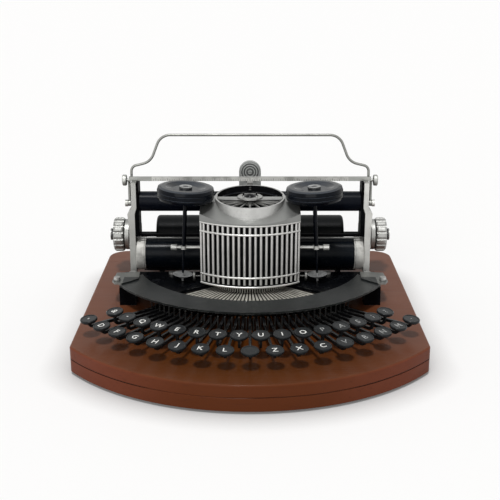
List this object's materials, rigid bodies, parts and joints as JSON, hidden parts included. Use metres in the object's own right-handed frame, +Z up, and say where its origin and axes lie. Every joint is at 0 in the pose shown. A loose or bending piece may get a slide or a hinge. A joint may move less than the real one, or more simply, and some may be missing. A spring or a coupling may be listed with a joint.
{
  "type": "keyed type-wheel typewriter",
  "caption": "Antique portable typewriter: caged type-wheel turret, fan of round keys, ribbon spools and a sliding paper carriage on a wooden base.",
  "frame": {"origin": "bottom centre of the machine, on the surface that its feet rest on", "axes": "+X to the right of a typist, +Y away from the typist, +Z up"},
  "size_m": [0.34, 0.3739, 0.193],
  "materials": {
    "stained_wood": "semi-gloss reddish brown stain",
    "foot_rubber": "matte",
    "black_enamel": "glossy black enamel",
    "shield_satin": "satin black enamel",
    "nickel_plate": "worn nickel",
    "bright_steel": "bright steel",
    "dark_steel": "blackened steel",
    "cage_silver": "cast and nickelled, softly worn",
    "hood_silver": "brushed nickel",
    "frame_silver": "matte nickel",
    "scale_silver": "satin with fine graduations",
    "spool_black": "semi-gloss black",
    "roller_rubber": "smooth polished black rubber",
    "cylinder_black": "glossy black",
    "key_black": "black caps on blackened levers"
  },
  "bodies": {
    "root": {"base_boards": "stained_wood", "rubber_feet": "foot_rubber", "main_frame": "black_enamel", "shield_crescent": "shield_satin", "ear_plates": "nickel_plate", "frame_screws": "bright_steel", "key_comb": "dark_steel", "turret_housing": "black_enamel", "turret_cage": "cage_silver", "turret_hood": "hood_silver", "spool_arms": "bright_steel", "carriage_rail": "dark_steel", "bell": "nickel_plate", "mainspring_drum": "black_enamel"},
    "type_wheel": {"type_wheel": "dark_steel"},
    "spool_left": {"ribbon_spool_left": "spool_black"},
    "spool_right": {"ribbon_spool_right": "spool_black"},
    "drive_shaft": {"ribbon_drive_shaft": "bright_steel"},
    "carriage": {"carriage_frame": "frame_silver", "carriage_liners": "black_enamel", "scale_bar": "scale_silver"},
    "paper_rest": {"paper_rest_wire": "bright_steel"},
    "upper_roller": {"upper_roller": "roller_rubber"},
    "front_roller": {"front_roller": "roller_rubber"},
    "feed": {"feed_cylinder": "cylinder_black", "cylinder_knobs": "nickel_plate"},
    "hammer": {"hammer": "bright_steel"},
    "key_01": {"key_01": "key_black"},
    "key_02": {"key_02": "key_black"},
    "key_03": {"key_03": "key_black"},
    "key_04": {"key_04": "key_black"},
    "key_05": {"key_05": "key_black"},
    "key_06": {"key_06": "key_black"},
    "key_07": {"key_07": "key_black"},
    "key_08": {"key_08": "key_black"},
    "key_09": {"key_09": "key_black"},
    "key_10": {"key_10": "key_black"},
    "key_11": {"key_11": "key_black"},
    "key_12": {"key_12": "key_black"},
    "key_13": {"key_13": "key_black"},
    "key_14": {"key_14": "key_black"},
    "key_15": {"key_15": "key_black"},
    "key_16": {"key_16": "key_black"},
    "key_17": {"key_17": "key_black"},
    "key_18": {"key_18": "key_black"},
    "key_19": {"key_19": "key_black"},
    "key_20": {"key_20": "key_black"},
    "key_21": {"key_21": "key_black"},
    "key_22": {"key_22": "key_black"},
    "key_23": {"key_23": "key_black"},
    "key_24": {"key_24": "key_black"},
    "key_25": {"key_25": "key_black"},
    "key_26": {"key_26": "key_black"},
    "key_27": {"key_27": "key_black"},
    "key_28": {"key_28": "key_black"},
    "key_29": {"key_29": "key_black"},
    "key_30": {"key_30": "key_black"},
    "key_31": {"key_31": "key_black"},
    "key_32": {"key_32": "key_black"},
    "key_33": {"key_33": "key_black"}
  },
  "joints": [
    {"name": "carriage_slide", "type": "slide", "parent": "root", "child": "carriage", "axis": [1, 0, 0], "range_m": [-0.085, 0.085]},
    {"name": "feed_turn", "type": "hinge", "parent": "carriage", "child": "feed", "pos_m": [0, 0.114, 0.0715], "axis": [1, 0, 0], "continuous": true},
    {"name": "front_roller_turn", "type": "hinge", "parent": "carriage", "child": "front_roller", "pos_m": [0, 0.075, 0.0616], "axis": [1, 0, 0], "continuous": true},
    {"name": "upper_roller_turn", "type": "hinge", "parent": "carriage", "child": "upper_roller", "pos_m": [0, 0.075, 0.121], "axis": [1, 0, 0], "continuous": true},
    {"name": "paper_rest_tilt", "type": "hinge", "parent": "carriage", "child": "paper_rest", "pos_m": [0, 0.077, 0.1183], "axis": [1, 0, 0], "range_deg": [-33, 6]},
    {"name": "ribbon_drive_turn", "type": "hinge", "parent": "root", "child": "drive_shaft", "pos_m": [0, 0.025, 0.0524], "axis": [1, 0, 0], "continuous": true},
    {"name": "spool_left_turn", "type": "hinge", "parent": "root", "child": "spool_left", "pos_m": [-0.0665, 0.025, 0.1433], "axis": [0.0523, 0, 0.9986], "continuous": true},
    {"name": "spool_right_turn", "type": "hinge", "parent": "root", "child": "spool_right", "pos_m": [0.0665, 0.025, 0.1433], "axis": [-0.0523, 0, 0.9986], "continuous": true},
    {"name": "type_wheel_turn", "type": "hinge", "parent": "root", "child": "type_wheel", "pos_m": [0, 0.034, 0.088], "axis": [0, 0, 1], "range_deg": [-60, 60], "stiffness_Nm_per_rad": 0.02},
    {"name": "hammer_swing", "type": "hinge", "parent": "root", "child": "hammer", "pos_m": [0, 0.096, 0.099], "axis": [1, 0, 0], "range_deg": [0, 4], "stiffness_Nm_per_rad": 0.05, "springref_deg": -11.46},
    {"name": "key_01_press", "type": "hinge", "parent": "root", "child": "key_01", "pos_m": [-0.0796, -0.02078, 0.0415], "axis": [0.6253, -0.7804, 0], "range_deg": [0, 4.2], "stiffness_Nm_per_rad": 0.3, "springref_deg": -5.73},
    {"name": "key_02_press", "type": "hinge", "parent": "root", "child": "key_02", "pos_m": [-0.07591, -0.02513, 0.0415], "axis": [0.668, -0.7442, 0], "range_deg": [0, 4.2], "stiffness_Nm_per_rad": 0.3, "springref_deg": -5.73},
    {"name": "key_03_press", "type": "hinge", "parent": "root", "child": "key_03", "pos_m": [-0.07198, -0.02927, 0.0415], "axis": [0.7085, -0.7057, 0], "range_deg": [0, 4.2], "stiffness_Nm_per_rad": 0.3, "springref_deg": -5.73},
    {"name": "key_04_press", "type": "hinge", "parent": "root", "child": "key_04", "pos_m": [-0.06782, -0.03318, 0.0415], "axis": [0.7469, -0.6649, 0], "range_deg": [0, 4.2], "stiffness_Nm_per_rad": 0.3, "springref_deg": -5.73},
    {"name": "key_05_press", "type": "hinge", "parent": "root", "child": "key_05", "pos_m": [-0.06346, -0.03686, 0.0415], "axis": [0.7829, -0.6221, 0], "range_deg": [0, 4.2], "stiffness_Nm_per_rad": 0.3, "springref_deg": -5.73},
    {"name": "key_06_press", "type": "hinge", "parent": "root", "child": "key_06", "pos_m": [-0.05889, -0.04028, 0.0415], "axis": [0.8165, -0.5774, 0], "range_deg": [0, 4.2], "stiffness_Nm_per_rad": 0.3, "springref_deg": -5.73},
    {"name": "key_07_press", "type": "hinge", "parent": "root", "child": "key_07", "pos_m": [-0.05414, -0.04344, 0.0415], "axis": [0.8475, -0.5308, 0], "range_deg": [0, 4.2], "stiffness_Nm_per_rad": 0.3, "springref_deg": -5.73},
    {"name": "key_08_press", "type": "hinge", "parent": "root", "child": "key_08", "pos_m": [-0.04922, -0.04634, 0.0415], "axis": [0.8759, -0.4826, 0], "range_deg": [0, 4.2], "stiffness_Nm_per_rad": 0.3, "springref_deg": -5.73},
    {"name": "key_09_press", "type": "hinge", "parent": "root", "child": "key_09", "pos_m": [-0.04415, -0.04895, 0.0415], "axis": [0.9015, -0.4328, 0], "range_deg": [0, 4.2], "stiffness_Nm_per_rad": 0.3, "springref_deg": -5.73},
    {"name": "key_10_press", "type": "hinge", "parent": "root", "child": "key_10", "pos_m": [-0.03894, -0.05128, 0.0415], "axis": [0.9243, -0.3817, 0], "range_deg": [0, 4.2], "stiffness_Nm_per_rad": 0.3, "springref_deg": -5.73},
    {"name": "key_11_press", "type": "hinge", "parent": "root", "child": "key_11", "pos_m": [-0.03361, -0.0533, 0.0415], "axis": [0.9442, -0.3295, 0], "range_deg": [0, 4.2], "stiffness_Nm_per_rad": 0.3, "springref_deg": -5.73},
    {"name": "key_12_press", "type": "hinge", "parent": "root", "child": "key_12", "pos_m": [-0.02817, -0.05503, 0.0415], "axis": [0.9611, -0.2761, 0], "range_deg": [0, 4.2], "stiffness_Nm_per_rad": 0.3, "springref_deg": -5.73},
    {"name": "key_13_press", "type": "hinge", "parent": "root", "child": "key_13", "pos_m": [-0.02264, -0.05646, 0.0415], "axis": [0.9751, -0.222, 0], "range_deg": [0, 4.2], "stiffness_Nm_per_rad": 0.3, "springref_deg": -5.73},
    {"name": "key_14_press", "type": "hinge", "parent": "root", "child": "key_14", "pos_m": [-0.01704, -0.05757, 0.0415], "axis": [0.9859, -0.1671, 0], "range_deg": [0, 4.2], "stiffness_Nm_per_rad": 0.3, "springref_deg": -5.73},
    {"name": "key_15_press", "type": "hinge", "parent": "root", "child": "key_15", "pos_m": [-0.01139, -0.05836, 0.0415], "axis": [0.9937, -0.1117, 0], "range_deg": [0, 4.2], "stiffness_Nm_per_rad": 0.3, "springref_deg": -5.73},
    {"name": "key_16_press", "type": "hinge", "parent": "root", "child": "key_16", "pos_m": [-0.0057, -0.05884, 0.0415], "axis": [0.9984, -0.0559, 0], "range_deg": [0, 4.2], "stiffness_Nm_per_rad": 0.3, "springref_deg": -5.73},
    {"name": "key_17_press", "type": "hinge", "parent": "root", "child": "key_17", "pos_m": [0, -0.059, 0.0415], "axis": [1, 0, 0], "range_deg": [0, 4.2], "stiffness_Nm_per_rad": 0.3, "springref_deg": -5.73},
    {"name": "key_18_press", "type": "hinge", "parent": "root", "child": "key_18", "pos_m": [0.0057, -0.05884, 0.0415], "axis": [0.9984, 0.0559, 0], "range_deg": [0, 4.2], "stiffness_Nm_per_rad": 0.3, "springref_deg": -5.73},
    {"name": "key_19_press", "type": "hinge", "parent": "root", "child": "key_19", "pos_m": [0.01139, -0.05836, 0.0415], "axis": [0.9937, 0.1117, 0], "range_deg": [0, 4.2], "stiffness_Nm_per_rad": 0.3, "springref_deg": -5.73},
    {"name": "key_20_press", "type": "hinge", "parent": "root", "child": "key_20", "pos_m": [0.01704, -0.05757, 0.0415], "axis": [0.9859, 0.1671, 0], "range_deg": [0, 4.2], "stiffness_Nm_per_rad": 0.3, "springref_deg": -5.73},
    {"name": "key_21_press", "type": "hinge", "parent": "root", "child": "key_21", "pos_m": [0.02264, -0.05646, 0.0415], "axis": [0.9751, 0.222, 0], "range_deg": [0, 4.2], "stiffness_Nm_per_rad": 0.3, "springref_deg": -5.73},
    {"name": "key_22_press", "type": "hinge", "parent": "root", "child": "key_22", "pos_m": [0.02817, -0.05503, 0.0415], "axis": [0.9611, 0.2761, 0], "range_deg": [0, 4.2], "stiffness_Nm_per_rad": 0.3, "springref_deg": -5.73},
    {"name": "key_23_press", "type": "hinge", "parent": "root", "child": "key_23", "pos_m": [0.03361, -0.0533, 0.0415], "axis": [0.9442, 0.3295, 0], "range_deg": [0, 4.2], "stiffness_Nm_per_rad": 0.3, "springref_deg": -5.73},
    {"name": "key_24_press", "type": "hinge", "parent": "root", "child": "key_24", "pos_m": [0.03894, -0.05128, 0.0415], "axis": [0.9243, 0.3817, 0], "range_deg": [0, 4.2], "stiffness_Nm_per_rad": 0.3, "springref_deg": -5.73},
    {"name": "key_25_press", "type": "hinge", "parent": "root", "child": "key_25", "pos_m": [0.04415, -0.04895, 0.0415], "axis": [0.9015, 0.4328, 0], "range_deg": [0, 4.2], "stiffness_Nm_per_rad": 0.3, "springref_deg": -5.73},
    {"name": "key_26_press", "type": "hinge", "parent": "root", "child": "key_26", "pos_m": [0.04922, -0.04634, 0.0415], "axis": [0.8759, 0.4826, 0], "range_deg": [0, 4.2], "stiffness_Nm_per_rad": 0.3, "springref_deg": -5.73},
    {"name": "key_27_press", "type": "hinge", "parent": "root", "child": "key_27", "pos_m": [0.05414, -0.04344, 0.0415], "axis": [0.8475, 0.5308, 0], "range_deg": [0, 4.2], "stiffness_Nm_per_rad": 0.3, "springref_deg": -5.73},
    {"name": "key_28_press", "type": "hinge", "parent": "root", "child": "key_28", "pos_m": [0.05889, -0.04028, 0.0415], "axis": [0.8165, 0.5774, 0], "range_deg": [0, 4.2], "stiffness_Nm_per_rad": 0.3, "springref_deg": -5.73},
    {"name": "key_29_press", "type": "hinge", "parent": "root", "child": "key_29", "pos_m": [0.06346, -0.03686, 0.0415], "axis": [0.7829, 0.6221, 0], "range_deg": [0, 4.2], "stiffness_Nm_per_rad": 0.3, "springref_deg": -5.73},
    {"name": "key_30_press", "type": "hinge", "parent": "root", "child": "key_30", "pos_m": [0.06782, -0.03318, 0.0415], "axis": [0.7469, 0.6649, 0], "range_deg": [0, 4.2], "stiffness_Nm_per_rad": 0.3, "springref_deg": -5.73},
    {"name": "key_31_press", "type": "hinge", "parent": "root", "child": "key_31", "pos_m": [0.07198, -0.02927, 0.0415], "axis": [0.7085, 0.7057, 0], "range_deg": [0, 4.2], "stiffness_Nm_per_rad": 0.3, "springref_deg": -5.73},
    {"name": "key_32_press", "type": "hinge", "parent": "root", "child": "key_32", "pos_m": [0.07591, -0.02513, 0.0415], "axis": [0.668, 0.7442, 0], "range_deg": [0, 4.2], "stiffness_Nm_per_rad": 0.3, "springref_deg": -5.73},
    {"name": "key_33_press", "type": "hinge", "parent": "root", "child": "key_33", "pos_m": [0.0796, -0.02078, 0.0415], "axis": [0.6253, 0.7804, 0], "range_deg": [0, 4.2], "stiffness_Nm_per_rad": 0.3, "springref_deg": -5.73}
  ],
  "couplings": [
    {"joint": "front_roller_turn", "follows": "feed_turn", "ratio": -1.2717},
    {"joint": "upper_roller_turn", "follows": "feed_turn", "ratio": -2.037},
    {"joint": "ribbon_drive_turn", "follows": "spool_right_turn", "ratio": 5},
    {"joint": "spool_left_turn", "follows": "spool_right_turn", "ratio": -1}
  ]
}
